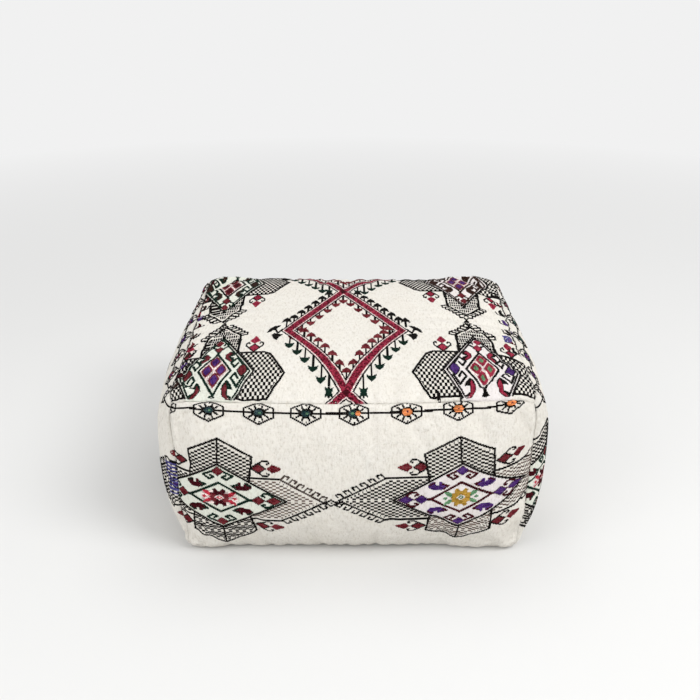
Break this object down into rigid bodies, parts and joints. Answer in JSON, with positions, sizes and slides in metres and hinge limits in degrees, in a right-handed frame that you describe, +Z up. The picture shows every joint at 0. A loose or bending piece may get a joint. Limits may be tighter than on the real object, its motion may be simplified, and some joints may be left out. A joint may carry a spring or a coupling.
{
  "type": "kilim pouf",
  "caption": "Square stuffed floor pouf: hand-woven cream kilim cover with geometric motifs, canvas base closed by a zip, and a filled insert.",
  "frame": {"origin": "centre of the bounding box on the floor, under the middle of the base", "axes": "+Z up, front panel towards -Y, +X to the right along the wide side and along the zip"},
  "size_m": [0.708, 0.6706, 0.316],
  "materials": {
    "kilim": "hand-woven cream wool and cotton with slubs, matt",
    "brocade_yarn": "dyed wool brocading yarns in black, crimson, teal, orange, purple, gold and green, slightly raised",
    "canvas": "plain unbleached cotton canvas, matt",
    "zip_tape": "woven polyester tape, matt",
    "zip_teeth": "moulded plastic teeth",
    "zip_metal": "aged brass",
    "insert_cloth": "thin white cotton case",
    "stuffing": "white polyester fibre"
  },
  "bodies": {
    "cushion": {"top_panel": "kilim", "front_panel": "kilim", "back_panel": "kilim", "left_panel": "kilim", "right_panel": "kilim", "base_panel_front": "canvas", "base_panel_back": "canvas", "zip_end_tab_left": "canvas", "zip_end_tab_right": "canvas", "zip_tape_front": "zip_tape", "zip_tape_back": "zip_tape", "zip_teeth_front": "zip_teeth", "zip_teeth_back": "zip_teeth", "zip_top_stops": "zip_metal", "zip_bottom_stop": "zip_metal", "insert_case_top": "insert_cloth", "insert_case_boxing": "insert_cloth", "insert_case_base": "insert_cloth", "stuffing": "stuffing"},
    "slider": {"zip_slider": "zip_metal"},
    "pull": {"zip_pull": "zip_metal"}
  },
  "joints": [
    {"name": "zip_slide", "type": "slide", "parent": "cushion", "child": "slider", "axis": [-1, 0, 0], "range_m": [0, 0.431], "deforming": ["zip_teeth_front", "zip_teeth_back"]},
    {"name": "pull_hinge", "type": "hinge", "parent": "slider", "child": "pull", "pos_m": [0.2178, 0, 0.0026], "axis": [0, -1, 0], "range_deg": [0, 180]}
  ]
}
